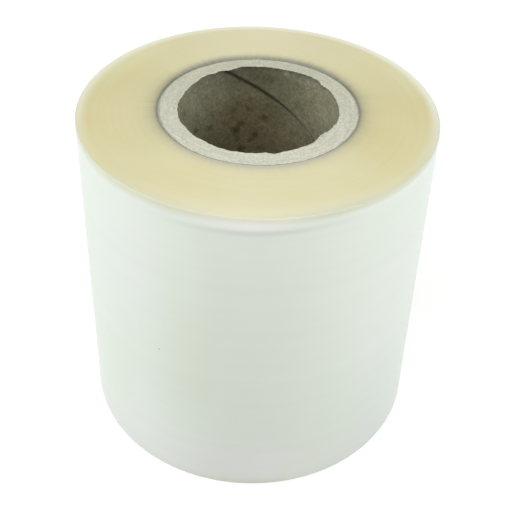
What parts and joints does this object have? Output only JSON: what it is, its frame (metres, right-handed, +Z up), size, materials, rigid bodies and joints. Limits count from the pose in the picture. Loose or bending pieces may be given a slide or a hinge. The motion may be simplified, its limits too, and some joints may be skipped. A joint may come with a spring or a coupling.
{
  "type": "sealing film roll",
  "caption": "Upright roll of clear sealing film wound flush on a thick spiral paperboard core, with an open round bore for a machine shaft.",
  "frame": {"origin": "centre of the core's bore at the lower end face, which the roll stands on", "axes": "+Z up the bore, from the lower end face to the upper one; +Y away from the side that the roll is usually seen from"},
  "size_m": [0.17, 0.1699, 0.168],
  "materials": {
    "paperboard": "matte",
    "film": "gloss"
  },
  "bodies": {
    "root": {"paperboard_core": "paperboard", "film_winding": "film"}
  },
  "joints": []
}
